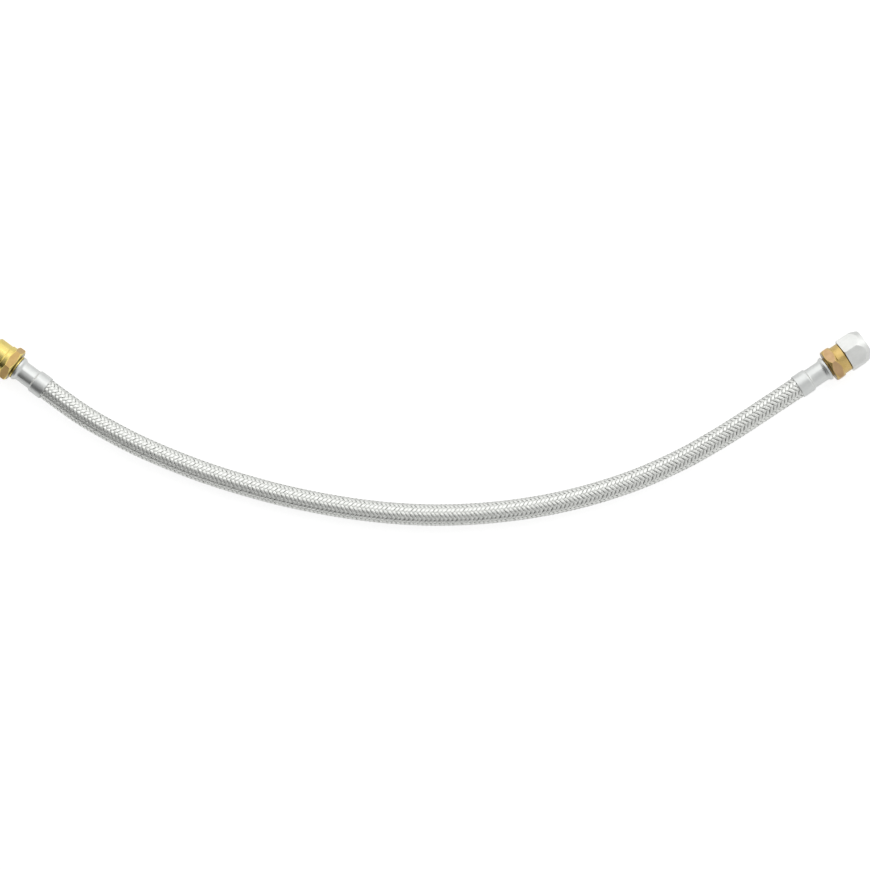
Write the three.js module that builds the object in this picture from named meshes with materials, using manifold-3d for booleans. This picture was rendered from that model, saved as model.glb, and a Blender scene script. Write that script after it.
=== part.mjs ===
import * as THREE from 'three';
import { mergeVertices } from 'three/addons/utils/BufferGeometryUtils.js';
import Module from 'manifold-3d';

// A flexible water hose, 500 mm long: a rubber liner in a sleeve of steel braid, crimped at each end
// on a barbed brass tail. One end is a plain spigot, the other has a union nut that swivels.
// It lies on a table in a shallow arc. The fittings rest on corners of their hexagons, and the hose
// comes down to the table between them. Millimetres, +Z up, the table is Z = 0.

const wasm = await Module();
wasm.setup();

// The hose's axis from one ferrule's mouth to the other's
const route = [
  [-201.1, -12.6, 9.52],
  [-193.1, -18.5, 9.52],
  [-183.2, -25.5, 9.4],
  [-172.7, -31.9, 9.1],
  [-156.9, -40.4, 8.3],
  [-141.2, -47.6, 7.4],
  [-120.2, -55.9, 6.4],
  [-99.2, -62.7, 5.9],
  [-78.2, -68.4, 5.74],
  [-57.2, -72.9, 5.72],
  [-36.2, -76.3, 5.72],
  [-15.2, -78.4, 5.72],
  [5.8, -79.1, 5.72],
  [26.8, -78.3, 5.72],
  [47.8, -76.1, 5.72],
  [68.8, -72.4, 5.72],
  [89.8, -67.0, 5.74],
  [110.8, -59.8, 5.9],
  [131.8, -50.4, 6.5],
  [147.6, -41.7, 7.4],
  [163.3, -32.0, 8.6],
  [178.7, -21.8, 9.6],
  [185.4, -17.4, 9.76],
  [193.7, -11.9, 9.76],
];

// Hose
const hoseDiameter = 11.4;
const braidWall = 0.4;
const linerWall = 1.3;
const crimpedLinerWall = 1.0;
const hoseSides = 12;
const hoseSteps = 24;
const weldOverlap = 0.01; // of a squeezed end into the free length, to make them one

// Clearances
const layerGap = 0.2; // between the layers that the crimp squeezes together
const seatGap = 0.3; // between pieces that stand face to face
const swivelGap = 0.3; // round the union nut's hole

// Crimp ferrules
const ferruleWall = 0.35;
const mouthBand = 6.9;
const crimpBand = 8.3;
const crimpDiameter = 10.95;
const crimpRamp = 0.6;
const flareBand = 1.2;
const flareRamp = 1.2;
const flareDiameter = 13.1;

// Barbed tails inside the hose
const tailWall = 0.34; // at the root of a barb
const tailTip = 1.5; // from the ferrule's mouth to the tail's tip
const barbPitch = 3.2;
const barbCount = 4;
const barbSlope = 2.3; // of the pitch, from the root of a barb up to its crest
const barbDrop = 0.2; // along the axis, from a crest down to the next root
const barbDepth = 0.3;

// Plain spigot
const neckRingDiameter = 12.9;
const neckRingWidth = 0.7;
const neckDiameter = 11.0;
const neckGroove = 0.5;
const acrossFlats = 17;
const spigotHexWidth = 4.5;
const spigotHexTurn = -14;
const spigotHexChamfer = 0.9; // on the hose's side, along a corner of the hexagon
const shoulderHexChamfer = 0.6; // on the shoulder's side
const shoulderDiameter = 16;
const shoulderLength = 2.6;
const spigotDiameter = 15;
const spigotLength = 8.0;
const spigotChamfer = 1.0;
const spigotBore = 10.8;
const spigotBoreDepth = 9;

// Swivel end
const swivelNeck = 0.9;
const swivelHexWidth = 5.3;
const swivelHexTurn = -6;
const swivelHexChamfer = 1.6; // on both sides, along a corner of the hexagon
const collarDiameter = 15.8;
const collarLength = 4.3;
const stubLand = 0.8; // of the stub beyond the ring's groove
const ringWidth = 0.8;
const ringDepth = 0.6; // of the groove that the ring sits in
const ringStand = 0.8; // how far the ring stands out of the stub
const ringPlay = 0.4; // between the ring and the nut's bore
const ringOpening = 40; // degrees left out of the ring

// Union nut
const nutAcrossFlats = 17;
const nutLength = 12.7;
const nutTurn = -11.5;
const nutBack = 2.6;
const nutBore = 11.8;
const nutMouth = 13.4;
const nutFaceDiameter = 15.0;
const nutTaper = 5.4; // of the chamfer along a corner of the nut
const nutBackChamfer = 0.5;

// Sealing washer
const washerThickness = 1.6;
const washerHole = 6;

// Chamfers and facets
const hexFaceDiameter = 16.8;
const edgeBreak = 0.3;
const cutOver = 1; // how far a cutting shape reaches past what it cuts
const ringSides = 32;
const hexRingSides = 48;

// Finishes
const steelBraid = { color: 0xc6c9c5, roughness: 0.35, metalness: 0.9 };
const steelSheet = { color: 0xcfd2d0, roughness: 0.3, metalness: 0.9 };
const zincSteel = { color: 0xc9c9c6, roughness: 0.45, metalness: 0.8 };
const yellowBrass = { color: 0xd3b45a, roughness: 0.3, metalness: 0.9 };
const springSteel = { color: 0x6c7072, roughness: 0.4, metalness: 0.9 };
const blackRubber = { color: 0x1b1b1c, roughness: 0.8, metalness: 0 };

// Radius of the largest circle inside a ring of flat sides
function inscribed(radius, sides) {
  return radius * Math.cos(Math.PI / sides);
}

// Radius of a ring of flat sides that a circle fits in
function circumscribed(radius, sides) {
  return radius / Math.cos(Math.PI / sides);
}

// Radii of the layers, worked out from the outside in
const braidRadius = hoseDiameter / 2;
const braidInner = braidRadius - braidWall;
const linerRadius = braidInner - layerGap;
const mouthInner = circumscribed(braidRadius + layerGap, ringSides);
const crimpInner = crimpDiameter / 2 - ferruleWall;
const neckBraidRadius = inscribed(crimpInner, ringSides) - layerGap;
const neckBraidInner = neckBraidRadius - braidWall;
const neckLinerRadius = neckBraidInner - layerGap;
const neckLinerInner = neckLinerRadius - crimpedLinerWall;
const tailRadius = inscribed(neckLinerInner, hoseSides) - layerGap;
const tailRoot = tailRadius - barbDepth;
const tailBore = tailRoot - tailWall;

// The ring goes in through the nut's bore with the stub
const ringRadius = nutBore / 2 - ringPlay;
const stubRadius = ringRadius - ringStand;

// Places along a fitting's axis, from the ferrule's mouth outwards
const crimpStart = mouthBand + crimpRamp;
const crimpEnd = crimpStart + crimpBand;
const flareStart = crimpEnd + flareRamp;
const ferruleEnd = flareStart + flareBand;
const neckStart = ferruleEnd + seatGap;
const layerEnd = neckStart - seatGap;
const spigotHexStart = neckStart + neckRingWidth + neckGroove;
const shoulderStart = spigotHexStart + spigotHexWidth;
const spigotStart = shoulderStart + shoulderLength;
const spigotEnd = spigotStart + spigotLength;
const swivelHexStart = neckStart + swivelNeck;
const collarStart = swivelHexStart + swivelHexWidth;
const collarEnd = collarStart + collarLength;
const nutStart = collarEnd + swivelGap;
const cavityStart = nutStart + nutBack;
const grooveStart = cavityStart + swivelGap;
const grooveEnd = grooveStart + ringWidth + seatGap;
const stubEnd = grooveEnd + stubLand;
const washerStart = stubEnd + seatGap;
const nutEnd = nutStart + nutLength;

function lathe(profile, sides = ringSides) {
  const points = profile.map(([radius, along]) => new THREE.Vector2(radius, along));
  points.push(points[0].clone());
  return new THREE.LatheGeometry(points, sides);
}

function solid(geometry) {
  const bare = geometry.clone();
  bare.deleteAttribute('normal');
  bare.deleteAttribute('uv');
  const merged = mergeVertices(bare);
  const vertProperties = new Float32Array(merged.attributes.position.array);
  const triVerts = new Uint32Array(merged.index.array);
  return new wasm.Manifold(new wasm.Mesh({ numProp: 3, vertProperties, triVerts }));
}

function geometryOf(manifold) {
  const mesh = manifold.getMesh();
  const geometry = new THREE.BufferGeometry();
  geometry.setAttribute('position', new THREE.BufferAttribute(mesh.vertProperties, 3));
  geometry.setIndex(new THREE.BufferAttribute(mesh.triVerts, 1));
  geometry.computeVertexNormals();
  return geometry;
}

function named(name, geometry, finish) {
  const mesh = new THREE.Mesh(geometry, new THREE.MeshStandardMaterial(finish));
  mesh.name = name;
  return mesh;
}

// Hexagonal bar along the axis, turned about it
function hexBar(flats, from, to, turn) {
  const corner = circumscribed(flats / 2, 6);
  const bar = new THREE.CylinderGeometry(corner, corner, to - from, 6);
  bar.rotateY(THREE.MathUtils.degToRad(turn));
  bar.translate(0, (from + to) / 2, 0);
  return bar;
}

// Hexagon with both ends chamfered on a lathe
function hexagon(from, to, turn, fromChamfer, toChamfer) {
  const corner = circumscribed(acrossFlats / 2, 6);
  const face = hexFaceDiameter / 2;
  const turned = lathe([
    [0, from], [face, from], [corner, from + fromChamfer],
    [corner, to - toChamfer], [face, to], [0, to],
  ], hexRingSides);
  return solid(hexBar(acrossFlats, from - cutOver, to + cutOver, turn)).intersect(solid(turned));
}

// Profile of a barbed tail, from its tip to the neck
function barbs() {
  const profile = [[0, tailTip], [tailRoot, tailTip]];
  for (let i = 0; i < barbCount; i += 1) {
    const start = tailTip + i * barbPitch;
    profile.push([tailRadius, start + barbSlope]);
    profile.push([tailRoot, start + barbSlope + barbDrop]);
  }
  return profile;
}

function spigotFitting() {
  const neck = neckDiameter / 2;
  const ring = neckRingDiameter / 2;
  const shoulder = shoulderDiameter / 2;
  const outer = spigotDiameter / 2;
  const bore = spigotBore / 2;
  const ringEnd = neckStart + neckRingWidth;
  const boreStart = spigotEnd - spigotBoreDepth;
  const turned = lathe([
    ...barbs(),
    [tailRoot, neckStart],
    [ring, neckStart],
    [ring, ringEnd],
    [neck, ringEnd],
    [neck, spigotHexStart],
    [outer, spigotHexStart + spigotHexChamfer],
    [shoulder, shoulderStart],
    [shoulder, spigotStart - edgeBreak],
    [outer, spigotStart],
    [outer, spigotEnd - spigotChamfer],
    [outer - spigotChamfer, spigotEnd],
    [0, spigotEnd],
  ]);
  const hole = lathe([
    [0, tailTip - cutOver], [tailBore, tailTip - cutOver],
    [tailBore, boreStart - (bore - tailBore)], [bore, boreStart],
    [bore, spigotEnd - edgeBreak], [bore + 2 * edgeBreak, spigotEnd + edgeBreak], [0, spigotEnd + edgeBreak],
  ]);
  const hex = hexagon(
    spigotHexStart, shoulderStart, spigotHexTurn, spigotHexChamfer, shoulderHexChamfer,
  );
  return geometryOf(solid(turned).add(hex).subtract(solid(hole)));
}

function swivelFitting() {
  const neck = neckDiameter / 2;
  const collar = collarDiameter / 2;
  const groove = stubRadius - ringDepth;
  const turned = lathe([
    ...barbs(),
    [tailRoot, neckStart],
    [neck, neckStart],
    [neck, swivelHexStart + swivelHexChamfer],
    [collar, collarStart - swivelHexChamfer],
    [collar, collarEnd - edgeBreak],
    [collar - edgeBreak, collarEnd],
    [stubRadius, collarEnd],
    [stubRadius, grooveStart],
    [groove, grooveStart],
    [groove, grooveEnd],
    [stubRadius, grooveEnd],
    [stubRadius, stubEnd - edgeBreak],
    [stubRadius - edgeBreak, stubEnd],
    [0, stubEnd],
  ]);
  const hole = lathe([
    [0, tailTip - cutOver], [tailBore, tailTip - cutOver],
    [tailBore, stubEnd + cutOver], [0, stubEnd + cutOver],
  ]);
  const hex = hexagon(
    swivelHexStart, collarStart, swivelHexTurn, swivelHexChamfer, swivelHexChamfer,
  );
  return geometryOf(solid(turned).add(hex).subtract(solid(hole)));
}

function unionNut() {
  const corner = circumscribed(nutAcrossFlats / 2, 6);
  const hole = circumscribed(stubRadius + swivelGap, ringSides);
  const bore = nutBore / 2;
  const mouth = nutMouth / 2;
  const turned = lathe([
    [hole, nutStart],
    [corner - nutBackChamfer, nutStart],
    [corner, nutStart + nutBackChamfer],
    [corner, nutEnd - nutTaper],
    [nutFaceDiameter / 2, nutEnd],
    [mouth, nutEnd],
    [bore, nutEnd - (mouth - bore)],
    [bore, cavityStart],
    [hole, cavityStart],
  ], hexRingSides);
  const bar = hexBar(nutAcrossFlats, nutStart - cutOver, nutEnd + cutOver, nutTurn);
  return geometryOf(solid(bar).intersect(solid(turned)));
}

// Snap ring that holds the nut on its stub
function retainingRing() {
  const inner = stubRadius - ringDepth + layerGap;
  const half = THREE.MathUtils.degToRad(ringOpening / 2);
  const outline = new THREE.Shape();
  outline.absarc(0, 0, ringRadius, half, 2 * Math.PI - half, false);
  outline.absarc(0, 0, inner, 2 * Math.PI - half, half, true);
  const ring = new THREE.ExtrudeGeometry(outline, { depth: ringWidth, bevelEnabled: false, curveSegments: 16 });
  ring.rotateX(-Math.PI / 2);
  ring.translate(0, grooveStart + seatGap / 2, 0);
  return ring;
}

function sealingWasher() {
  const outer = inscribed(nutBore / 2, hexRingSides) - layerGap;
  const inner = washerHole / 2;
  const end = washerStart + washerThickness;
  return lathe([[inner, washerStart], [outer, washerStart], [outer, end], [inner, end]]);
}

function ferrule() {
  const mouth = mouthInner + ferruleWall;
  const crimp = crimpDiameter / 2;
  const flare = flareDiameter / 2;
  return lathe([
    [mouthInner, 0],
    [mouth, 0],
    [mouth, mouthBand],
    [crimp, crimpStart],
    [crimp, crimpEnd],
    [flare, flareStart],
    [flare, ferruleEnd],
    [flare - ferruleWall, ferruleEnd],
    [flare - ferruleWall, flareStart],
    [crimpInner, crimpEnd],
    [crimpInner, crimpStart],
    [mouthInner, mouthBand],
  ]);
}

const curve = new THREE.CatmullRomCurve3(
  route.map(([x, y, z]) => new THREE.Vector3(x, y, z)), false, 'catmullrom', 0.5,
);
const frames = curve.computeFrenetFrames(hoseSteps, false);

// A layer of the hose from mouth to mouth
function hoseLayer(outer, inner) {
  const section = new THREE.Shape();
  section.absarc(0, 0, outer, 0, 2 * Math.PI, false);
  const opening = new THREE.Path();
  opening.absarc(0, 0, inner, 0, 2 * Math.PI, false);
  section.holes.push(opening);
  const options = { steps: hoseSteps, extrudePath: curve, curveSegments: hoseSides / 2 };
  return new THREE.ExtrudeGeometry(section, options);
}

// Turns a fitting's own axis, its Y, outwards along one end of the route
function endMatrix(end, across) {
  const outward = end === 0 ? frames.tangents[0].clone().negate() : frames.tangents[hoseSteps].clone();
  const sideways = across ?? new THREE.Vector3().crossVectors(outward, new THREE.Vector3(0, 0, 1));
  const upward = new THREE.Vector3().crossVectors(sideways, outward);
  const matrix = new THREE.Matrix4().makeBasis(sideways.normalize(), outward, upward.normalize());
  return matrix.setPosition(curve.getPointAt(end));
}

// The same layer inside a ferrule, squeezed down on the tail. Each surface further in starts its
// ramp a little nearer the mouth, so the layers keep their distance.
function neckLayer(end, outside, inside) {
  const neck = lathe([
    [outside.free, -weldOverlap],
    [outside.free, mouthBand - outside.lead],
    [outside.squeezed, crimpStart - outside.lead],
    [outside.squeezed, layerEnd],
    [inside.squeezed, layerEnd],
    [inside.squeezed, crimpStart - inside.lead],
    [inside.free, mouthBand - inside.lead],
    [inside.free, -weldOverlap],
  ], hoseSides);
  const across = frames.normals[end === 0 ? 0 : hoseSteps].clone();
  return neck.applyMatrix4(endMatrix(end, across));
}

function hosePiece(outside, inside) {
  const free = solid(hoseLayer(outside.free, inside.free));
  const start = solid(neckLayer(0, outside, inside));
  const finish = solid(neckLayer(1, outside, inside));
  return geometryOf(free.add(start).add(finish));
}

function braidSleeve() {
  const outside = { free: braidRadius, squeezed: neckBraidRadius, lead: layerGap };
  const inside = { free: braidInner, squeezed: neckBraidInner, lead: 2 * layerGap };
  return hosePiece(outside, inside);
}

function rubberLiner() {
  const outside = { free: linerRadius, squeezed: neckLinerRadius, lead: 3 * layerGap };
  const inside = { free: linerRadius - linerWall, squeezed: neckLinerInner, lead: 4 * layerGap };
  return hosePiece(outside, inside);
}

// Fittings of one end, seated on the route
function endGroup(end, pieces) {
  const group = new THREE.Group();
  endMatrix(end).decompose(group.position, group.quaternion, group.scale);
  group.add(...pieces);
  return group;
}

const hose = new THREE.Group();
hose.add(named('braid_sleeve', braidSleeve(), steelBraid));
hose.add(named('rubber_liner', rubberLiner(), blackRubber));
hose.add(endGroup(0, [
  named('spigot_ferrule', ferrule(), steelSheet),
  named('spigot_fitting', spigotFitting(), yellowBrass),
]));
hose.add(endGroup(1, [
  named('swivel_ferrule', ferrule(), steelSheet),
  named('swivel_fitting', swivelFitting(), yellowBrass),
  named('retaining_ring', retainingRing(), springSteel),
  named('union_nut', unionNut(), zincSteel),
  named('sealing_washer', sealingWasher(), blackRubber),
]));

export default hose;
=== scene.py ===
import math
import bpy
from mathutils import Matrix, Vector


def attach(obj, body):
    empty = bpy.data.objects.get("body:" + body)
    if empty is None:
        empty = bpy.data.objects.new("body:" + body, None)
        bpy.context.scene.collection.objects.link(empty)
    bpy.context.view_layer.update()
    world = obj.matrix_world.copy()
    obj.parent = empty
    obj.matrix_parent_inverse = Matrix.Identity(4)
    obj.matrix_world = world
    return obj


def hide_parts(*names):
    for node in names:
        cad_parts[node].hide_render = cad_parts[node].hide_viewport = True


# A flexible water hose, 500 mm long, in a woven sleeve of steel wire. It has a plain brass spigot at one
# end and a swivel union nut at the other, and it lies in a shallow arc on a pale floor. Metres, +Z up.

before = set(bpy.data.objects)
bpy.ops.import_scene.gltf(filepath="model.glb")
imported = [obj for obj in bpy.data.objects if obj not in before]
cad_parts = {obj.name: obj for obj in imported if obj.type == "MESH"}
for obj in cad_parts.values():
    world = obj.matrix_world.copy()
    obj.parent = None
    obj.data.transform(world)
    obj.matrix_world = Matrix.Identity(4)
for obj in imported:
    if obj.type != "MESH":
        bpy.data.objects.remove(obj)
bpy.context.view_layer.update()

# The hose's axis from one ferrule's mouth to the other's
hoseRoute = [
    (-0.2011, -0.0126, 0.00952), (-0.1931, -0.0185, 0.00952), (-0.1832, -0.0255, 0.0094),
    (-0.1727, -0.0319, 0.0091), (-0.1569, -0.0404, 0.0083), (-0.1412, -0.0476, 0.0074),
    (-0.1202, -0.0559, 0.0064), (-0.0992, -0.0627, 0.0059), (-0.0782, -0.0684, 0.00574),
    (-0.0572, -0.0729, 0.00572), (-0.0362, -0.0763, 0.00572), (-0.0152, -0.0784, 0.00572),
    (0.0058, -0.0791, 0.00572), (0.0268, -0.0783, 0.00572), (0.0478, -0.0761, 0.00572),
    (0.0688, -0.0724, 0.00572), (0.0898, -0.0670, 0.00574), (0.1108, -0.0598, 0.0059),
    (0.1318, -0.0504, 0.0065), (0.1476, -0.0417, 0.0074), (0.1633, -0.0320, 0.0086),
    (0.1787, -0.0218, 0.0096), (0.1854, -0.0174, 0.00976), (0.1937, -0.0119, 0.00976),
]

# What both ends share, along a fitting's axis from its ferrule's mouth outwards
hoseEnd = {
    "mouthBand": 0.0069,  # end of the ferrule's wide band
    "crimpStart": 0.0075,
    "crimpEnd": 0.0158,
    "flareStart": 0.0170,
    "ferruleEnd": 0.0182,
    "neckStart": 0.0185,
}

cameraSetup = {
    "place": (0.0032, -0.0370, 1.810),
    "fieldOfView": math.radians(14.46),
    "farthest": 50.0,
}


def addCamera():
    data = bpy.data.cameras.new("camera")
    data.angle = cameraSetup["fieldOfView"]
    data.clip_end = cameraSetup["farthest"]
    camera = bpy.data.objects.new("camera", data)
    camera.location = cameraSetup["place"]
    bpy.context.scene.collection.objects.link(camera)
    bpy.context.scene.camera = camera
    bpy.context.scene.view_settings.view_transform = "Standard"


addCamera()
print("camera in place")


class Wire:  # a socket of a node tree, so that sums on it are written as Python
    def __init__(self, tree, socket=None):
        self.tree = tree
        self.socket = socket

    def node(self, kind, settings=None, values=None, output=0):
        made = self.tree.nodes.new(kind)
        for name, value in (settings or {}).items():
            setattr(made, name, value)
        for name, value in (values or {}).items():
            if isinstance(value, Wire):
                self.tree.links.new(value.socket, made.inputs[name])
            else:
                made.inputs[name].default_value = value
        return Wire(self.tree, made.outputs[output] if len(made.outputs) else None)

    def out(self, name):  # another output of the node that this socket is on
        return Wire(self.tree, self.socket.node.outputs[name])

    def sum(self, operation, first, second=0.0):
        return self.node("ShaderNodeMath", {"operation": operation}, {0: first, 1: second})

    def __add__(self, other):
        return self.sum("ADD", self, other)

    def __radd__(self, other):
        return self.sum("ADD", other, self)

    def __sub__(self, other):
        return self.sum("SUBTRACT", self, other)

    def __rsub__(self, other):
        return self.sum("SUBTRACT", other, self)

    def __mul__(self, other):
        return self.sum("MULTIPLY", self, other)

    def __truediv__(self, other):
        return self.sum("DIVIDE", self, other)

    def __pow__(self, other):
        return self.sum("POWER", self, other)

    def cos(self):
        return self.sum("COSINE", self)

    def sin(self):
        return self.sum("SINE", self)

    def size(self):
        return self.sum("ABSOLUTE", self)

    def vector(self, operation, other=(0, 0, 0), output=0):
        return self.node("ShaderNodeVectorMath", {"operation": operation}, {0: self, 1: other}, output)

    def scaled(self, amount):
        return self.node("ShaderNodeVectorMath", {"operation": "SCALE"}, {0: self, "Scale": amount})

    def ranged(self, low, high, first=0.0, last=1.0):  # smooth step from first at low to last at high
        return self.node(
            "ShaderNodeMapRange", {"interpolation_type": "SMOOTHSTEP"},
            {"Value": self, "From Min": low, "From Max": high, "To Min": first, "To Max": last})

    def blended(self, first, second):  # two colours, mixed by this socket
        return self.node("ShaderNodeMix", {"data_type": "RGBA"}, {0: self, 6: first, 7: second}, 2)


def colour(red, green, blue):
    return (red, green, blue, 1.0)


def startMaterial(name):
    material = bpy.data.materials.new(name)
    material.use_nodes = True
    material.node_tree.nodes.clear()
    return material, Wire(material.node_tree)


def finishMaterial(start, values):
    surface = start.node("ShaderNodeBsdfPrincipled", None, values)
    start.node("ShaderNodeOutputMaterial", None, {"Surface": surface})


def attribute(start, name):
    return start.node("ShaderNodeAttribute", {"attribute_name": name}, None, "Fac")


def objectPlace(start):
    return start.node("ShaderNodeTexCoord", None, None, "Object")


def noise(start, place, scale, detail=2.0):
    return start.node("ShaderNodeTexNoise", None, {"Vector": place, "Scale": scale, "Detail": detail})


def lineNoise(start, run, scale):  # noise along one number, for turned or drawn lines
    return start.node("ShaderNodeTexNoise", {"noise_dimensions": "1D"}, {"W": run, "Scale": scale})


def bump(start, height, distance):
    return start.node("ShaderNodeBump", None, {"Height": height, "Distance": distance})


toneSpread = (0.3, 0.7)  # of a noise, from the dull colour to the bright one

braidSteel = {
    "bright": colour(0.89, 0.90, 0.87),
    "dull": colour(0.42, 0.435, 0.41),
    "wires": 6,
    "valleyPaintedShade": 0.15,  # painted shade between two wires
    "valleyRange": (0.15, 0.8),  # of a wire's height
    "dipPaintedShade": 0.28,  # painted shade where a strand goes under the others
    "dipRange": (-0.3, 0.7),  # of a strand's height
    "edgePaintedShade": 0.18,  # painted shade along a strand's two edges, where it meets its neighbours
    "edgeRange": (0.7, 1.0),  # of the way from a strand's middle
    "darkest": 0.86,  # of the strands' tone, before the painted shades above
    "strandShade": 0.12,  # from one strand to another
    "streakShade": 0.10,
    "streaks": 900.0,
    "streakOffset": 7.0,  # sets the streaks of two strands apart
    "wireHeight": 0.00005,
    "crownHeight": 0.00010,  # of a strand's rise over the others, on top of its own shape
    "roughness": (0.21, 0.34),
}


def braidMaterial():
    material, start = startMaterial("drawn steel wire")
    across = attribute(start, "strandAcross")
    high = attribute(start, "strandHigh")
    shade = attribute(start, "strandShade")
    long = attribute(start, "strandLong")
    b = braidSteel
    wire = ((across + 1.0) * (0.5 * math.pi * b["wires"])).sin().size()
    valley = 1.0 - wire.ranged(*b["valleyRange"])
    dip = 1.0 - high.ranged(*b["dipRange"])
    edge = across.size().ranged(*b["edgeRange"])
    streak = lineNoise(start, long + shade * b["streakOffset"], b["streaks"])
    # Painted shade: darker between wires, where a strand goes under, and along its edges; then tone from
    # strand to strand and streaks
    bright = (1.0 - valley * b["valleyPaintedShade"]) * (1.0 - dip * b["dipPaintedShade"]) * (1.0 - edge * b["edgePaintedShade"])
    bright = bright * (b["darkest"] + shade * b["strandShade"] + streak * b["streakShade"])
    crown = high * b["crownHeight"]
    smooth, rough = b["roughness"]
    finishMaterial(start, {
        "Base Color": bright.blended(b["dull"], b["bright"]),
        "Metallic": 1.0,
        "Roughness": streak * (rough - smooth) + smooth,
        "Normal": bump(start, (wire ** 0.5) * b["wireHeight"] + crown, 1.0),  # heights in metres
    })
    return material


sheetSteel = {
    "bright": colour(0.77, 0.785, 0.77),
    "dull": colour(0.69, 0.705, 0.695),
    "roughness": (0.34, 0.48),
    "lines": 9000.0,
    "clouds": 260.0,
    "grains": 1500.0,
    "relief": 0.000012,
}


def sheetMaterial():
    material, start = startMaterial("satin stainless sheet")
    place = objectPlace(start)
    run = attribute(start, "turnedRun")
    lines = lineNoise(start, run, sheetSteel["lines"])
    cloud = noise(start, place, sheetSteel["clouds"], 3.0)
    fine = noise(start, place, sheetSteel["grains"])
    smooth, rough = sheetSteel["roughness"]
    tone = cloud.ranged(*toneSpread) * 0.6 + lines * 0.4
    finishMaterial(start, {
        "Base Color": tone.blended(sheetSteel["dull"], sheetSteel["bright"]),
        "Metallic": 1.0,
        "Roughness": (fine * 0.5 + lines * 0.5) * (rough - smooth) + smooth,
        "Normal": bump(start, lines + cloud * 2.0 + fine * 0.6, sheetSteel["relief"]),
    })
    return material


brass = {
    "turnedRoughness": (0.20, 0.34),
    "drawnRoughness": (0.36, 0.5),
    "toolLines": 7000.0,
    "drawLines": 4000.0,
    "clouds": 300.0,
    "grains": 1800.0,
    "relief": 0.000012,
    "neckPaintedShade": colour(0.13, 0.085, 0.03),  # painted shade in the narrow neck between the ferrule and the hexagon
    "neckPaintedShadeShare": 0.7,
}

# Colours of the two fittings: of the turned metal and of the drawn flats, bright and dull
brassColours = {
    "spigot": (
        colour(0.90, 0.75, 0.26), colour(0.78, 0.62, 0.19),
        colour(0.64, 0.445, 0.18), colour(0.55, 0.365, 0.14)),
    "swivel": (
        colour(0.74, 0.54, 0.22), colour(0.59, 0.41, 0.14),
        colour(0.65, 0.44, 0.245), colour(0.53, 0.35, 0.18)),
}


def brassMaterial(end):
    material, start = startMaterial("turned brass, " + end)
    turnedBright, turnedDull, drawnBright, drawnDull = brassColours[end]
    place = objectPlace(start)
    run = attribute(start, "turnedRun")
    around = attribute(start, "turnedAround")
    flat = attribute(start, "hexFlat")
    hidden = attribute(start, "sheltered")
    tool = lineNoise(start, run, brass["toolLines"])
    draw = lineNoise(start, around, brass["drawLines"])
    cloud = noise(start, place, brass["clouds"], 3.0)
    fine = noise(start, place, brass["grains"])
    turned = (tool * 0.5 + cloud * 0.5).ranged(*toneSpread).blended(turnedDull, turnedBright)
    drawn = (draw * 0.4 + cloud * 0.6).ranged(*toneSpread).blended(drawnDull, drawnBright)
    smoothTurned, roughTurned = brass["turnedRoughness"]
    smoothDrawn, roughDrawn = brass["drawnRoughness"]
    turnedRough = tool * (roughTurned - smoothTurned) + smoothTurned
    drawnRough = draw * (roughDrawn - smoothDrawn) + smoothDrawn
    unshadedBrass = flat.blended(turned, drawn)
    relief = tool * (1.0 - flat) + (draw * 1.2 + fine * 1.5) * flat + cloud
    finishMaterial(start, {
        # Painted shade: the sheltered faces in the neck are darkened towards a near-black brown
        "Base Color": (hidden * brass["neckPaintedShadeShare"]).blended(unshadedBrass, brass["neckPaintedShade"]),
        "Metallic": 1.0,
        "Roughness": turnedRough * (1.0 - flat) + drawnRough * flat,
        "Normal": bump(start, relief, brass["relief"]),
    })
    return material


nutPlate = {
    "bright": colour(0.83, 0.84, 0.82),
    "dull": colour(0.74, 0.75, 0.73),
    "roughness": (0.30, 0.44),
    "toolLines": 6000.0,
    "drawLines": 2500.0,
    "clouds": 220.0,
    "grains": 2200.0,
    "relief": 0.000014,
}


def nutMaterial():
    material, start = startMaterial("satin plated steel")
    place = objectPlace(start)
    run = attribute(start, "turnedRun")
    around = attribute(start, "turnedAround")
    flat = attribute(start, "hexFlat")
    tool = lineNoise(start, run, nutPlate["toolLines"])
    draw = lineNoise(start, around, nutPlate["drawLines"])
    cloud = noise(start, place, nutPlate["clouds"], 3.0)
    fine = noise(start, place, nutPlate["grains"])
    grain = tool * (1.0 - flat) + draw * flat
    smooth, rough = nutPlate["roughness"]
    tone = (cloud * 0.7 + grain * 0.3).ranged(*toneSpread)
    finishMaterial(start, {
        "Base Color": tone.blended(nutPlate["dull"], nutPlate["bright"]),
        "Metallic": 1.0,
        "Roughness": (fine * 0.6 + grain * 0.4) * (rough - smooth) + smooth,
        "Normal": bump(start, grain + fine * 1.2 + cloud, nutPlate["relief"]),
    })
    return material


springSteel = {
    "bright": colour(0.5, 0.51, 0.52),
    "dull": colour(0.34, 0.35, 0.36),
    "roughness": (0.25, 0.5),
    "clouds": 900.0,
    "relief": 0.00001,
}


def springMaterial():
    material, start = startMaterial("spring steel")
    cloud = noise(start, objectPlace(start), springSteel["clouds"], 3.0)
    smooth, rough = springSteel["roughness"]
    finishMaterial(start, {
        "Base Color": cloud.blended(springSteel["dull"], springSteel["bright"]),
        "Metallic": 1.0,
        "Roughness": cloud * (rough - smooth) + smooth,
        "Normal": bump(start, cloud, springSteel["relief"]),
    })
    return material


rubber = {
    "pale": colour(0.035, 0.035, 0.036),
    "dark": colour(0.016, 0.016, 0.017),
    "roughness": (0.5, 0.75),
    "clouds": 500.0,
    "grains": 4000.0,
    "relief": 0.00002,
}


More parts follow.
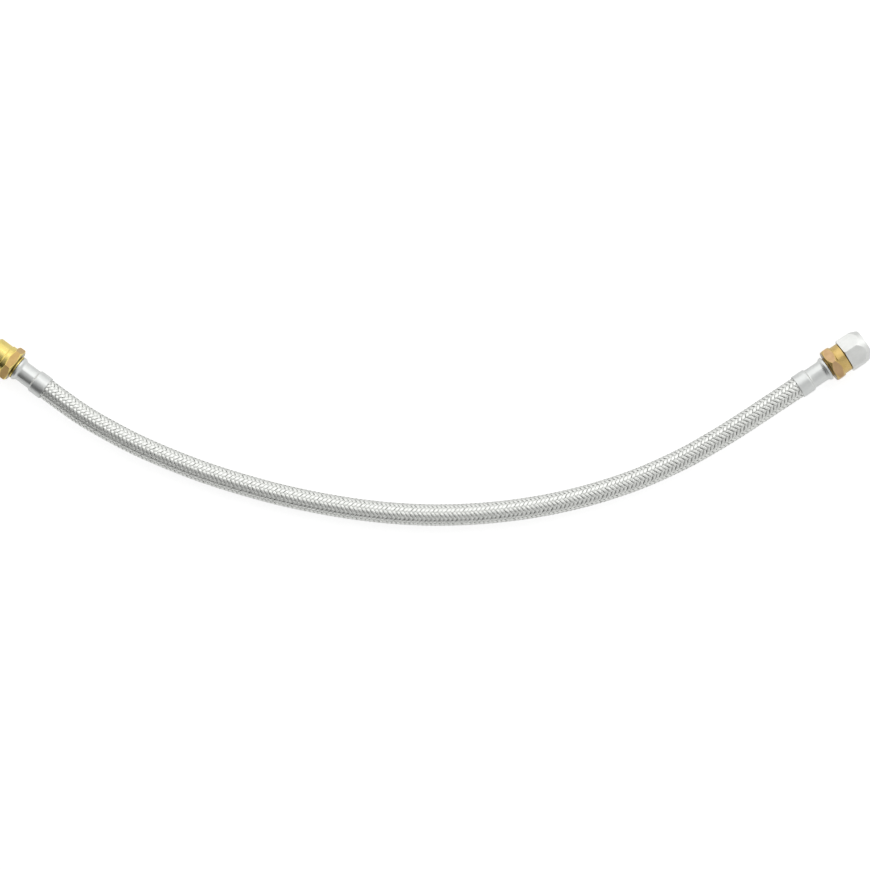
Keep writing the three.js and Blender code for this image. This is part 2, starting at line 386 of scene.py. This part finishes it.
def rubberMaterial():
    material, start = startMaterial("black rubber")
    place = objectPlace(start)
    cloud = noise(start, place, rubber["clouds"], 3.0)
    fine = noise(start, place, rubber["grains"])
    smooth, rough = rubber["roughness"]
    finishMaterial(start, {
        "Base Color": cloud.blended(rubber["dark"], rubber["pale"]),
        "Roughness": fine * (rough - smooth) + smooth,
        "Normal": bump(start, cloud + fine * 0.5, rubber["relief"]),
    })
    return material


materials = {
    "braid": braidMaterial(),
    "sheet": sheetMaterial(),
    "spigot brass": brassMaterial("spigot"),
    "swivel brass": brassMaterial("swivel"),
    "nut": nutMaterial(),
    "spring": springMaterial(),
    "rubber": rubberMaterial(),
}
print("materials made")


def smoothRoute(points, stepsEach):  # one smooth curve through all the points
    knots = [2 * points[0] - points[1], *points, 2 * points[-1] - points[-2]]
    curve = []
    for a, b, c, d in zip(knots, knots[1:], knots[2:], knots[3:]):
        for step in range(stepsEach):
            t = step / stepsEach
            bend = (2 * a - 5 * b + 4 * c - d) * t * t + (3 * b - a - 3 * c + d) * t * t * t
            curve.append(0.5 * (2 * b + (c - a) * t + bend))
    curve.append(points[-1].copy())
    return curve


def endFrame(mouth, inside):  # turns a fitting's own axis, its Y, outwards from the ferrule's mouth
    outward = (mouth - inside).normalized()
    sideways = outward.cross(Vector((0, 0, 1))).normalized()
    upward = sideways.cross(outward)
    turn = Matrix((sideways, outward, upward)).transposed().to_4x4()
    return Matrix.Translation(mouth) @ turn


routePoints = [Vector(point) for point in hoseRoute]
spigotPlace = endFrame(routePoints[0], routePoints[1])
swivelPlace = endFrame(routePoints[-1], routePoints[-2])
hoseCurve = smoothRoute(routePoints, stepsEach=12)
hoseStart = spigotPlace @ Vector((0, hoseEnd["ferruleEnd"], 0))
hoseFinish = swivelPlace @ Vector((0, hoseEnd["ferruleEnd"], 0))
cutLine = [hoseStart, *hoseCurve, hoseFinish]  # with the stretches inside the ferrules
hoseLength = sum((b - a).length for a, b in zip(cutLine, cutLine[1:]))


def meshObject(name, mesh):
    made = bpy.data.objects.new(name, mesh)
    bpy.context.scene.collection.objects.link(made)
    return made


def polyline(name, points, closed=False):
    mesh = bpy.data.meshes.new(name)
    edges = [(i, i + 1) for i in range(len(points) - 1)]
    if closed:
        edges.append((len(points) - 1, 0))
    mesh.from_pydata(points, edges, [])
    return meshObject(name, mesh)


braidSleeve = {
    "Strands": 12,  # each way
    "Steps": 930,
    "Lay": 0.0273,  # along the hose for one turn of a strand
    "Radius": 0.00541,
    "Squeezed Radius": 0.00462,
    "Squeeze From": hoseEnd["ferruleEnd"] - hoseEnd["crimpStart"],
    "Squeeze To": hoseEnd["ferruleEnd"] - hoseEnd["mouthBand"],
    "Wave": 0.00018,  # how far a strand goes over and under the others
    "Width": 0.00180,
    "Thickness": 0.00023,
    "Roll": math.radians(45),  # of the whole weave round the hose
    "Twist": 0.4,  # radians that the roll gains in a metre
    "Wander": 0.03,  # radians that a strand strays from its even place
}

# How a strand strays from its even place: a slow noise along it, another for each strand
strandDrift = {
    "along": 30.0,
    "apart": 40.0,
    "steadyShare": 0.6,
    "driftShare": 3.0,
}

# Closed outline of a strand, for a width and a thickness of 2
strandSection = [
    (-1.0, 0.0), (-0.66, 0.72), (0.0, 1.0), (0.66, 0.72), (1.0, 0.0), (0.5, -0.8), (-0.5, -0.8),
]

# Piece, direction of its turns and seed of its strands
braidHands = (("braid_right_hand", 1.0, 4), ("braid_left_hand", -1.0, 9))


def startTree(name, inputs):
    tree = bpy.data.node_groups.new(name, "GeometryNodeTree")
    tree.interface.new_socket("Geometry", in_out="OUTPUT", socket_type="NodeSocketGeometry")
    for label, kind in inputs.items():
        tree.interface.new_socket(label, in_out="INPUT", socket_type="NodeSocket" + kind)
    return Wire(tree).node("NodeGroupInput")


def finishTree(given, geometry):
    whole = given.node("GeometryNodeRealizeInstances", None, {0: geometry})
    dressed = given.node(
        "GeometryNodeSetMaterial", None, {"Geometry": whole, "Material": given.out("Material")})
    given.node("NodeGroupOutput", None, {0: dressed})
    return given.tree


def stored(geometry, name, value, kind="FLOAT"):
    return geometry.node(
        "GeometryNodeStoreNamedAttribute", {"data_type": kind, "domain": "POINT"},
        {"Geometry": geometry, "Name": name, "Value": value})


def strandTree():
    given = startTree("woven strands", {
        "Geometry": "Geometry", "Strands": "Int", "Steps": "Int", "Hand": "Float", "Lay": "Float",
        "Radius": "Float", "Squeezed Radius": "Float", "Squeeze From": "Float", "Squeeze To": "Float",
        "Wave": "Float", "Width": "Float", "Thickness": "Float", "Roll": "Float", "Twist": "Float",
        "Wander": "Float", "Seed": "Int", "Section": "Object", "Material": "Material",
    })
    axis = given.node("GeometryNodeMeshToCurve", None, {"Mesh": given.out("Geometry")})
    axis = given.node("GeometryNodeResampleCurve", None, {"Curve": axis, "Count": given.out("Steps")})
    copies = given.node(
        "GeometryNodeDuplicateElements", {"domain": "SPLINE"},
        {"Geometry": axis, "Amount": given.out("Strands")})
    index = copies.out("Duplicate Index")

    along = given.node("GeometryNodeSplineParameter", None, None, "Length")
    whole = given.node("GeometryNodeSplineLength", None, None, "Length")
    near = along.sum("MINIMUM", along, whole - along)
    free = near.ranged(given.out("Squeeze From"), given.out("Squeeze To"))

    stray = given.node(
        "FunctionNodeRandomValue", {"data_type": "FLOAT"},
        {2: -1.0, 3: 1.0, "ID": index, "Seed": given.out("Seed")}, 1)
    drift = given.node(
        "ShaderNodeTexNoise", {"noise_dimensions": "2D"},
        {"Vector": given.node("ShaderNodeCombineXYZ", None, {
            "X": along * strandDrift["along"], "Y": stray * strandDrift["apart"]}),
         "Scale": 1.0, "Detail": 1.0})
    wander = stray * strandDrift["steadyShare"] + (drift - 0.5) * strandDrift["driftShare"]
    wander = wander * given.out("Wander")
    spacing = given.sum("DIVIDE", 2 * math.pi, given.out("Strands"))
    turned = index * spacing + given.out("Hand") * along * (2 * math.pi) / given.out("Lay") + wander
    phase = (turned - spacing * 0.25) * given.out("Strands") * 0.5  # over two strands, then under two
    angle = turned + given.out("Roll") + given.out("Twist") * along
    height = phase.cos() * given.out("Hand")
    middle = given.out("Squeezed Radius") * (1.0 - free) + given.out("Radius") * free
    radius = middle + height * given.out("Wave")

    tangent = given.node("GeometryNodeInputTangent")
    side = tangent.vector("CROSS_PRODUCT", (0.0, 0.0, 1.0)).vector("NORMALIZE")
    rise = side.vector("CROSS_PRODUCT", tangent)
    radial = side.scaled(angle.cos()).vector("ADD", rise.scaled(angle.sin()))

    strands = stored(copies, "radial", radial, "FLOAT_VECTOR")
    strands = stored(strands, "strandHigh", height)
    strands = stored(strands, "strandShade", stray * 0.5 + 0.5)
    strands = stored(strands, "strandLong", along)
    strands = given.node(
        "GeometryNodeSetPosition", None, {"Geometry": strands, "Offset": radial.scaled(radius)})

    outward = given.node(
        "GeometryNodeInputNamedAttribute", {"data_type": "FLOAT_VECTOR"}, {"Name": "radial"})
    heading = given.node("GeometryNodeInputTangent")
    lean = outward.vector("DOT_PRODUCT", heading, "Value")
    upright = outward.vector("SUBTRACT", heading.scaled(lean)).vector("NORMALIZE")
    strands = given.node(
        "GeometryNodeSetCurveNormal", {"mode": "FREE"}, {"Curve": strands, "Normal": upright})

    section = given.node("GeometryNodeObjectInfo", None, {"Object": given.out("Section")}, "Geometry")
    section = given.node("GeometryNodeMeshToCurve", None, {"Mesh": section})
    size = given.node("ShaderNodeCombineXYZ", None, {
        "X": given.out("Thickness") * 0.5, "Y": given.out("Width") * 0.5, "Z": 1.0})
    section = given.node("GeometryNodeTransform", None, {"Geometry": section, "Scale": size})
    ribbons = given.node(
        "GeometryNodeCurveToMesh", None, {"Curve": strands, "Profile Curve": section, "Fill Caps": True})
    ribbons = given.node("GeometryNodeSetShadeSmooth", None, {"Geometry": ribbons, "Shade Smooth": True})
    return finishTree(given, ribbons)


def grown(name, tree, base, values):  # plain mesh of what the tree makes from base
    modifier = base.modifiers.new(name, "NODES")
    modifier.node_group = tree
    for item in tree.interface.items_tree:
        if item.in_out == "INPUT" and item.name in values:
            modifier[item.identifier] = values[item.name]
    mesh = bpy.data.meshes.new_from_object(base.evaluated_get(bpy.context.evaluated_depsgraph_get()))
    base.modifiers.remove(modifier)
    mesh.name = name
    return meshObject(name, mesh)


def weave():
    line = polyline("hose line", cutLine)
    section = polyline("strand section", [(high, across, 0.0) for across, high in strandSection], True)
    place = section.data.attributes.new("strandAcross", "FLOAT", "POINT")
    place.data.foreach_set("value", [across for across, high in strandSection])
    tree = strandTree()
    pieces = []
    for name, hand, seed in braidHands:
        values = dict(braidSleeve, Hand=hand, Seed=seed, Section=section, Material=materials["braid"])
        pieces.append(grown(name, tree, line, values))
    for helper in (line, section):
        bpy.data.objects.remove(helper)
    bpy.data.node_groups.remove(tree)
    return pieces


braids = weave()
print("sleeve woven:", [len(piece.data.polygons) for piece in braids])


linerTube = {
    "sides": 48,
    "radius": 0.0051,
    "wall": 0.0013,
    "squeezedRadius": 0.00428,
    "squeezedWall": 0.00098,
    "sharpAngle": 40,
}


def tubeMesh(name, rings, sides):  # closed shell from rings of (centre, side, rise, radius)
    vertices = []
    for centre, side, rise, radius in rings:
        for step in range(sides):
            angle = 2 * math.pi * step / sides
            vertices.append(centre + (side * math.cos(angle) + rise * math.sin(angle)) * radius)
    faces = []
    for ring in range(len(rings)):
        nextRing = (ring + 1) % len(rings)
        for step in range(sides):
            nextStep = (step + 1) % sides
            faces.append((ring * sides + step, ring * sides + nextStep,
                          nextRing * sides + nextStep, nextRing * sides + step))
    mesh = bpy.data.meshes.new(name)
    mesh.from_pydata(vertices, [], faces)
    return mesh


def outwardFaces(mesh):  # turns a closed shell's faces outwards
    volume = 0.0
    for face in mesh.polygons:
        corners = [mesh.vertices[i].co for i in face.vertices]
        for b, c in zip(corners[1:], corners[2:]):
            volume += corners[0].dot(b.cross(c))
    if volume < 0:
        mesh.flip_normals()


def smoothed(mesh, sharpAngle):
    mesh.shade_smooth()
    mesh.set_sharp_from_angle(angle=math.radians(sharpAngle))


def liner():
    stops = [Vector(point) for point in cutLine]
    squeezed = hoseEnd["ferruleEnd"] - hoseEnd["crimpStart"]
    free = hoseEnd["ferruleEnd"] - hoseEnd["mouthBand"]
    for end, inner in ((0, 1), (len(stops) - 1, len(stops) - 2)):
        start, heading = stops[end], (stops[inner] - stops[end]).normalized()
        extra = [start + heading * squeezed, start + heading * free]
        if end == 0:
            stops[1:1] = extra
        else:
            stops[-1:-1] = extra[::-1]
    run, rings = 0.0, []
    for i, centre in enumerate(stops):
        if i:
            run += (centre - stops[i - 1]).length
        heading = (stops[min(i + 1, len(stops) - 1)] - stops[max(i - 1, 0)]).normalized()
        side = heading.cross(Vector((0, 0, 1))).normalized()
        near = min(run, hoseLength - run)
        share = min(max((near - squeezed) / (free - squeezed), 0.0), 1.0)
        outer = linerTube["squeezedRadius"] * (1 - share) + linerTube["radius"] * share
        wall = linerTube["squeezedWall"] * (1 - share) + linerTube["wall"] * share
        rings.append((centre, side, side.cross(heading), outer, outer - wall))
    outside = [(centre, side, rise, outer) for centre, side, rise, outer, inner in rings]
    inside = [(centre, side, rise, inner) for centre, side, rise, outer, inner in reversed(rings)]
    mesh = tubeMesh("liner_tube", outside + inside, linerTube["sides"])
    outwardFaces(mesh)
    smoothed(mesh, linerTube["sharpAngle"])
    mesh.materials.append(materials["rubber"])
    return meshObject("liner_tube", mesh)


linerPiece = liner()
print("liner made")


cornerSteps = 3  # faces round a rounded corner of a profile
cornerReach = 0.42  # of a profile's line that the rounding at one of its ends may take
cornerEase = 0.48  # the same with the short face beside the rounding
turnedSharpAngle = 35  # degrees, past which a turned piece's edge is drawn sharp

# Roundings of a profile's corners
flatEdge = 0.00012  # at the two ends of a hexagon's flats, and at no other corner of a fitting or nut
sharpEdge = 0.0001
cleanEdge = 0.00015
softEdge = 0.0002
wideEdge = 0.0003


def roundedProfile(profile):  # each corner of (radius, along, rounding) becomes a small curve
    points = []
    for i, (radius, along, rounding) in enumerate(profile):
        corner = Vector((radius, along))
        if not rounding:
            points.append((corner, i))
            continue
        before = Vector(profile[i - 1][:2]) - corner
        after = Vector(profile[(i + 1) % len(profile)][:2]) - corner
        cut = min(rounding, before.length * cornerReach, after.length * cornerReach)
        start, finish = corner + before.normalized() * cut, corner + after.normalized() * cut
        points.append((corner + before.normalized() * min(2 * cut, before.length * cornerEase), i))
        for step in range(cornerSteps + 1):
            t = step / cornerSteps
            points.append((start * (1 - t) ** 2 + corner * 2 * t * (1 - t) + finish * t * t, i))
        points.append((corner + after.normalized() * min(2 * cut, after.length * cornerEase), i))
    return points


def evenAngles(count):
    return [2 * math.pi * step / count for step in range(count)]


# Places round a hexagon's corner, in degrees from it: close together where the corner is rounded
cornerPlaces = (0.0, 0.35, 0.7, 1.1, 2.2, 6.0, 11.0, 16.0, 21.0, 26.0)


def hexAngles(turn):
    angles = []
    for corner in range(6):
        middle = 60 * corner + turn
        angles += [middle + side for side in cornerPlaces]
        angles.append(middle + 30)
        angles += [middle + 60 - side for side in reversed(cornerPlaces[1:])]
    return [math.radians(angle) for angle in angles]


def hexRadius(angle, acrossFlats, turn, rounding):  # from the axis to a hexagon with rounded corners
    off = abs((math.degrees(angle) - turn + 30) % 60 - 30)
    off = math.radians(off)
    centre = (acrossFlats / 2 - rounding) / math.cos(math.pi / 6)
    reach = math.atan2(rounding / 2, centre + rounding * math.cos(math.pi / 6))
    if off < reach:
        return centre * math.cos(off) + math.sqrt(rounding ** 2 - (centre * math.sin(off)) ** 2)
    return acrossFlats / 2 / math.cos(math.pi / 6 - off)


def turnedPiece(name, place, profileAt, angles, material, flats=(), sheltered=()):
    columns = [roundedProfile(profileAt(angle)) for angle in angles]
    rows = len(columns[0])
    vertices = []
    for angle, column in zip(angles, columns):
        for point, corner in column:
            vertices.append(place @ Vector(
                (point.x * math.sin(angle), point.y, point.x * math.cos(angle))))
    faces, onFlat, hidden = [], [], []
    for i in range(len(angles)):
        nextColumn = (i + 1) % len(angles)
        for row in range(rows):
            nextRow = (row + 1) % rows
            faces.append((i * rows + row, nextColumn * rows + row,
                          nextColumn * rows + nextRow, i * rows + nextRow))
            here, there = columns[i][row][1], columns[i][nextRow][1]
            onFlat.append(float((here, there) in flats))
            hidden.append(float(here in sheltered and there in sheltered))
    mesh = bpy.data.meshes.new(name)
    mesh.from_pydata(vertices, [], faces)
    run, around = [], []
    for angle, column in zip(angles, columns):
        length = 0.0
        for row, (point, corner) in enumerate(column):
            length += (point - column[row - 1][0]).length if row else 0.0
            run.append(length)
            around.append(angle * point.x)
    addValues(mesh, "turnedRun", "POINT", run)
    addValues(mesh, "turnedAround", "POINT", around)
    addValues(mesh, "hexFlat", "FACE", onFlat)
    addValues(mesh, "sheltered", "FACE", hidden)
    outwardFaces(mesh)
    smoothed(mesh, turnedSharpAngle)
    mesh.materials.append(material)
    return meshObject(name, mesh)


def addValues(mesh, name, domain, values):
    mesh.attributes.new(name, "FLOAT", domain).data.foreach_set("value", values)


ferrule = {
    "wall": 0.00035,
    "mouthInner": 0.00593,
    "crimpRadius": 0.005475,
    "flareRadius": 0.00655,
    "jaws": 8,  # of the tool that squeezed it
    "ridge": 0.00006,  # that the jaws leave between them
    "ridgeWidth": math.radians(5),
    "lip": 0.00012,
    "sides": 144,
    "turns": {"spigot": 0.2, "swivel": 0.5},  # of the jaws' marks round each end, in radians
}

# Roundings where the ferrule's sheet bends, outside and inside
ferruleBends = {
    "mouthBand": (0.0005, 0.0004),
    "crimpStart": (0.0004, 0.0003),
    "crimpEnd": (0.0008, 0.0005),
    "flareStart": (0.0006, 0.0004),
}


def ferruleProfile(angle, turn):
    f, e = ferrule, hoseEnd
    pitch = 2 * math.pi / f["jaws"]
    off = abs((angle - turn + pitch / 2) % pitch - pitch / 2)
    squeezed = f["crimpRadius"] + f["ridge"] * math.exp(-(off / f["ridgeWidth"]) ** 2)
    mouth, flare = f["mouthInner"] + f["wall"], f["flareRadius"]
    outside, inside = [], []
    for (bend, roundings), radius in zip(ferruleBends.items(), (mouth, squeezed, squeezed, flare)):
        outside.append((radius, e[bend], roundings[0]))
        inside.append((radius - f["wall"], e[bend], roundings[1]))
    return [
        (f["mouthInner"], 0.0, f["lip"]),
        (mouth, 0.0, f["lip"]),
        *outside,
        (flare, e["ferruleEnd"], f["lip"]),
        (flare - f["wall"], e["ferruleEnd"], f["lip"]),
        *reversed(inside),
    ]


def ferrulePiece(name, place, turn):
    return turnedPiece(
        name, place, lambda angle: ferruleProfile(angle, turn), evenAngles(ferrule["sides"]),
        materials["sheet"])


spigotSleeve = ferrulePiece("spigot_ferrule_sheet", spigotPlace, ferrule["turns"]["spigot"])
swivelSleeve = ferrulePiece("swivel_ferrule_sheet", swivelPlace, ferrule["turns"]["swivel"])
print("ferrules made")


tail = {  # barbed, inside the hose
    "bore": 0.00235,
    "root": 0.00269,
    "crest": 0.00299,
    "tip": 0.0015,
    "pitch": 0.0032,
    "slope": 0.0023,
    "drop": 0.0002,
    "barbs": 4,
    "crestEdge": 0.00004,
}

spigotFitting = {
    "neckRing": 0.00645,
    "neckRingEnd": 0.0192,
    "neck": 0.0055,
    "hexStart": 0.0197,
    "acrossFlats": 0.017,
    "hexTurn": -14,
    "hexFace": 0.0084,
    "hexChamfers": (0.0009, 0.0006),  # on the hose's side and on the shoulder's, along a corner
    "shoulder": 0.008,
    "shoulderStart": 0.0242,
    "spigot": 0.0075,
    "spigotStart": 0.0268,
    "spigotEnd": 0.0348,
    "spigotChamfer": 0.001,
    "step": 0.0003,  # length of the slope from the shoulder to the spigot
    "bore": 0.0054,
    "boreStart": 0.0258,
    "boreChamfer": 0.0003,
    "edge": 0.00025,
    "corner": 0.0003,
}

swivelFitting = {
    "neck": 0.0055,
    "hexStart": 0.0194,
    "acrossFlats": 0.017,
    "hexTurn": -6,
    "hexFace": 0.0084,
    "hexChamfers": (0.0016, 0.0016),
    "collar": 0.0079,
    "collarStart": 0.0247,
    "collarEnd": 0.0291,
    "stub": 0.0047,
    "groove": 0.0041,
    "grooveStart": 0.0322,
    "grooveEnd": 0.0333,
    "stubEnd": 0.0341,
    "edge": 0.00025,
    "corner": 0.0003,
}


def barbs():
    points = [(tail["bore"], tail["tip"], sharpEdge), (tail["root"], tail["tip"], sharpEdge)]
    for i in range(tail["barbs"]):
        start = tail["tip"] + i * tail["pitch"]
        points.append((tail["crest"], start + tail["slope"], tail["crestEdge"]))
        points.append((tail["root"], start + tail["slope"] + tail["drop"], 0))
    return points


def hexPoints(angle, f, start, end):
    radius = hexRadius(angle, f["acrossFlats"], f["hexTurn"], f["corner"])
    corner = f["acrossFlats"] / 2 / math.cos(math.pi / 6)
    share = (radius - f["hexFace"]) / (corner - f["hexFace"])  # of a corner's chamfer, at this angle
    first, last = f["hexChamfers"]
    return [
        (f["hexFace"], start, sharpEdge),
        (radius, start + first * share, flatEdge),
        (radius, end - last * share, flatEdge),
        (f["hexFace"], end, sharpEdge),
    ]


def spigotProfile(angle):
    f = spigotFitting
    return [
        *barbs(),
        (tail["root"], hoseEnd["neckStart"], sharpEdge),
        (f["neckRing"], hoseEnd["neckStart"], cleanEdge),
        (f["neckRing"], f["neckRingEnd"], cleanEdge),
        (f["neck"], f["neckRingEnd"], sharpEdge),
        (f["neck"], f["hexStart"], sharpEdge),
        *hexPoints(angle, f, f["hexStart"], f["shoulderStart"]),
        (f["shoulder"], f["shoulderStart"], sharpEdge),
        (f["shoulder"], f["spigotStart"] - f["step"], f["edge"]),
        (f["spigot"], f["spigotStart"], cleanEdge),
        (f["spigot"], f["spigotEnd"] - f["spigotChamfer"], f["edge"]),
        (f["spigot"] - f["spigotChamfer"], f["spigotEnd"], f["edge"]),
        (f["bore"] + f["boreChamfer"], f["spigotEnd"], cleanEdge),
        (f["bore"], f["spigotEnd"] - f["boreChamfer"], cleanEdge),
        (f["bore"], f["boreStart"], wideEdge),
        (tail["bore"], f["boreStart"] - (f["bore"] - tail["bore"]), wideEdge),
    ]


def swivelProfile(angle):
    f = swivelFitting
    return [
        *barbs(),
        (tail["root"], hoseEnd["neckStart"], sharpEdge),
        (f["neck"], hoseEnd["neckStart"], cleanEdge),
        (f["neck"], f["hexStart"], sharpEdge),
        *hexPoints(angle, f, f["hexStart"], f["collarStart"]),
        (f["collar"], f["collarStart"], sharpEdge),
        (f["collar"], f["collarEnd"], f["edge"]),
        (f["stub"], f["collarEnd"], sharpEdge),
        (f["stub"], f["grooveStart"], sharpEdge),
        (f["groove"], f["grooveStart"], sharpEdge),
        (f["groove"], f["grooveEnd"], sharpEdge),
        (f["stub"], f["grooveEnd"], sharpEdge),
        (f["stub"], f["stubEnd"], wideEdge),
        (tail["bore"], f["stubEnd"], softEdge),
    ]


def flatRows(profile):  # the pair of corners that bound the hexagon's flats
    for i, (radius, along, rounding) in enumerate(profile):
        if rounding == flatEdge:
            return ((i, i + 1),)
    return ()


def brassPiece(name, place, profileAt, turn, material):
    profile = profileAt(0.0)
    flats = flatRows(profile)
    first = flats[0][0]
    neck = range(first - 3, first)  # corners of the profile from the neck to the hexagon's face, whose faces get painted shade
    return turnedPiece(name, place, profileAt, hexAngles(turn), material, flats, neck)


spigotBrass = brassPiece(
    "spigot_brass", spigotPlace, spigotProfile, spigotFitting["hexTurn"], materials["spigot brass"])
swivelBrass = brassPiece(
    "swivel_brass", swivelPlace, swivelProfile, swivelFitting["hexTurn"], materials["swivel brass"])
print("brass fittings made")


unionNut = {
    "acrossFlats": 0.017,
    "hexTurn": -11.5,
    "start": 0.0293,
    "end": 0.0420,
    "hole": 0.00502,
    "cavityStart": 0.0319,
    "bore": 0.0059,
    "threadDepth": 0.0006,
    "threadPitch": 0.001337,
    "threadStart": 0.0362,
    "threadRows": 8,  # to a turn of the thread
    "mouth": 0.0067,
    "face": 0.0075,
    "taper": 0.0054,
    "backChamfer": 0.0005,
    "leastChamfer": 0.0001,
    "backStep": 0.0002,  # from the back face's rim to the flats
    "corner": 0.0004,
}

washer = {
    "start": 0.0344,
    "end": 0.0360,
    "inner": 0.0030,
    "outer": 0.00568,
    "edge": 0.00015,
    "sides": 96,
}


def threadPoints(angle):
    f = unionNut
    first, last = f["threadStart"], f["end"] - (f["mouth"] - f["bore"])
    count = int((last - first) / f["threadPitch"] * f["threadRows"])
    points = []
    for i in range(count + 1):
        along = last + (first - last) * i / count
        turns = along / f["threadPitch"] + angle / (2 * math.pi)
        fade = max(0.0, min((along - first) / f["threadPitch"], 1.0))
        depth = f["threadDepth"] * (0.5 - 0.5 * math.cos(2 * math.pi * turns)) * fade
        points.append((f["bore"] + depth, along, 0))
    return points


def nutProfile(angle):
    f = unionNut
    corner = f["acrossFlats"] / 2 / math.cos(math.pi / 6)
    radius = hexRadius(angle, f["acrossFlats"], f["hexTurn"], f["corner"])
    back = f["backChamfer"] - (corner - radius)
    taper = f["taper"] * (radius - f["face"]) / (corner - f["face"])
    return [
        (f["hole"], f["start"], softEdge),
        (min(radius, corner - f["backChamfer"]) - f["backStep"], f["start"], sharpEdge),
        (radius, f["start"] + max(back, f["leastChamfer"]), flatEdge),
        (radius, f["end"] - taper, flatEdge),
        (f["face"], f["end"], softEdge),
        (f["mouth"], f["end"], cleanEdge),
        *threadPoints(angle),
        (f["bore"], f["cavityStart"], softEdge),
        (f["hole"], f["cavityStart"], softEdge),
    ]


def washerProfile(angle):
    edge = washer["edge"]
    return [
        (washer["inner"], washer["start"], edge),
        (washer["outer"], washer["start"], edge),
        (washer["outer"], washer["end"], edge),
        (washer["inner"], washer["end"], edge),
    ]


nutPiece = turnedPiece(
    "union_nut_steel", swivelPlace, nutProfile, hexAngles(unionNut["hexTurn"]), materials["nut"],
    flatRows(nutProfile(0.0)))
washerPiece = turnedPiece(
    "washer_rubber", swivelPlace, washerProfile, evenAngles(washer["sides"]), materials["rubber"])
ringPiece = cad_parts["retaining_ring"]
ringPiece.material_slots[0].material = materials["spring"]
print("nut and washer made")


rightHand, leftHand = braids
pieces = [
    # piece, body, slot, the CAD node that it stands for
    (rightHand, "hose", "steel_braid", ["braid_sleeve"]),
    (leftHand, "hose", "steel_braid", ["braid_sleeve"]),
    (linerPiece, "hose", "black_rubber", ["rubber_liner"]),
    (spigotSleeve, "hose", "steel_ferrule", ["spigot_ferrule"]),
    (swivelSleeve, "hose", "steel_ferrule", ["swivel_ferrule"]),
    (spigotBrass, "hose", "yellow_brass", ["spigot_fitting"]),
    (swivelBrass, "hose", "yellow_brass", ["swivel_fitting"]),
    (nutPiece, "nut", "plated_nut", ["union_nut"]),
    (washerPiece, "nut", "black_rubber", ["sealing_washer"]),
]
for piece, body, slot, nodes in pieces:
    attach(piece, body)
    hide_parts(*nodes)


studio = {
    "floorSize": 14.0,
    "floorColour": colour(0.42, 0.42, 0.42),
    "floorGlow": 0.78,  # to the camera
    "floorMirrored": 0.52,  # to metal
}

# Brightness of the white room round the hose, where 1 is white. A pair of heights or sides is where the
# brightness starts and stops changing, in parts of a direction of length 1.
room = {
    "back": (1.12, 1.17),  # near the horizon and higher
    "backHeights": (0.10, 0.45),
    "backGain": (1.12, 1.0),  # what the back is multiplied by, at its left and further right
    "backSides": (-0.5, -0.05),
    "right": 0.84,  # of the front
    "left": (0.02, 0.38),  # of the front, low and overhead
    "leftHeights": (0.60, 1.0),
    "leftHorizon": (0.50, 0.0),  # what the front's left side gains near the horizon
    "horizonHeights": (0.12, 0.35),
    "sides": (-0.35, 0.6),  # from left to right
    "depths": (0.08, 0.40),  # from front to back
}

keySoftbox = {
    "place": (0.62, 0.78, 1.20),
    "aim": (0.0, -0.04, 0.0),
    "size": (0.7, 0.5),
    "brightness": 1.1,  # of its face
}


def floorMaterial():
    material, start = startMaterial("pale floor")
    rays = start.node("ShaderNodeLightPath")
    mirrored = rays.sum("MAXIMUM", rays.out("Is Glossy Ray"), rays.out("Is Transmission Ray"))
    strength = rays.out("Is Camera Ray") * studio["floorGlow"] + mirrored * studio["floorMirrored"]
    surface = start.node("ShaderNodeBsdfDiffuse", None, {"Color": studio["floorColour"]})
    glow = start.node("ShaderNodeEmission", None, {"Strength": strength})
    both = start.node("ShaderNodeAddShader", None, {0: surface, 1: glow})
    start.node("ShaderNodeOutputMaterial", None, {"Surface": both})
    return material


def addFloor():
    half = studio["floorSize"] / 2
    mesh = bpy.data.meshes.new("floor")
    corners = [(-half, -half, 0), (half, -half, 0), (half, half, 0), (-half, half, 0)]
    mesh.from_pydata(corners, [], [(0, 1, 2, 3)])
    mesh.materials.append(floorMaterial())
    meshObject("floor", mesh)


def roomBrightness(start):
    direction = start.node("ShaderNodeTexCoord", None, None, "Generated")
    split = start.node("ShaderNodeSeparateXYZ", None, {0: direction})
    side, depth, height = split.out("X"), split.out("Y"), split.out("Z")
    left = height.ranged(*room["leftHeights"], *room["left"])
    left = left + height.ranged(*room["horizonHeights"], *room["leftHorizon"])
    front = side.ranged(*room["sides"], left, room["right"])
    back = height.ranged(*room["backHeights"], *room["back"])
    back = back * side.ranged(*room["backSides"], *room["backGain"])
    return depth.ranged(*room["depths"], front, back)


def addWorld():
    world = bpy.data.worlds.new("studio")
    world.use_nodes = True
    world.node_tree.nodes.clear()
    start = Wire(world.node_tree)
    seen = start.node("ShaderNodeLightPath", None, None, "Is Camera Ray")
    strength = seen + roomBrightness(start) * (1.0 - seen)
    light = start.node("ShaderNodeBackground", None, {"Color": colour(1, 1, 1), "Strength": strength})
    start.node("ShaderNodeOutputWorld", None, {"Surface": light})
    bpy.context.scene.world = world


def addLamp(name, place, aim, size, brightness):
    data = bpy.data.lights.new(name, "AREA")
    data.shape = "RECTANGLE"
    data.size, data.size_y = size
    data.energy = brightness * math.pi * size[0] * size[1]
    lamp = bpy.data.objects.new(name, data)
    lamp.location = place
    lamp.rotation_euler = (Vector(aim) - Vector(place)).to_track_quat("-Z", "Y").to_euler()
    lamp.visible_camera = False
    bpy.context.scene.collection.objects.link(lamp)


addFloor()
addWorld()
addLamp("key softbox", **keySoftbox)
print("floor and light in place")
